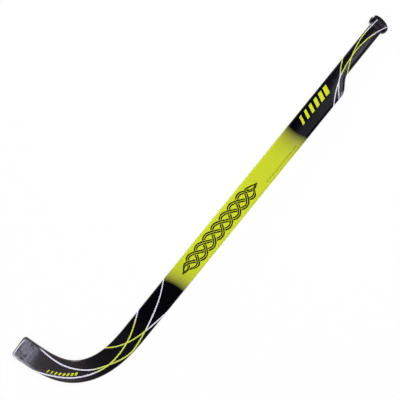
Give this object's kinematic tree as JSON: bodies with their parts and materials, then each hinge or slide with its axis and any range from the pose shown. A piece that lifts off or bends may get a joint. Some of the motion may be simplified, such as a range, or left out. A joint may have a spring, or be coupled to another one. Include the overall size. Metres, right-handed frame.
{
  "type": "hockey goalie stick",
  "caption": "Bent laminated rink hockey goalkeeper's stick: wide flat paddle, right-angled blade, stepped narrow handle and domed end knob, lying on its back face.",
  "frame": {"origin": "middle of the stick's outline box, on the plane of its flat back face", "axes": "+X along the shaft towards the butt, +Y the way the blade bends, +Z out of the front face"},
  "size_m": [1.0082, 0.194, 0.021],
  "materials": {
    "printed_film": "glossy black film, lime panel along the shaft, thin white and lime stripes",
    "printed_film_toe": "glossy black film over the sealed toe",
    "sealed_end": "satin black end seal",
    "ash_wood": "bent ash plies, long straight grain",
    "poplar_wood": "light poplar plies",
    "knob_wood": "shaped hardwood blocks",
    "carbon_weave": "black carbon fibre in resin"
  },
  "bodies": {
    "root": {"printed_skin": "printed_film", "butt_cap": "sealed_end", "toe_cap": "printed_film_toe", "core_ply_1": "ash_wood", "core_ply_2": "ash_wood", "core_ply_3": "ash_wood", "core_ply_4": "ash_wood", "paddle_ply_1": "poplar_wood", "paddle_ply_2": "poplar_wood", "paddle_ply_3": "poplar_wood", "carbon_strip_core": "carbon_weave", "carbon_strip_paddle": "carbon_weave", "carbon_sheet_front": "carbon_weave", "carbon_sheet_back": "carbon_weave", "knob_block_inner": "knob_wood", "knob_block_outer": "knob_wood", "knob_pad_front": "knob_wood"}
  },
  "joints": []
}
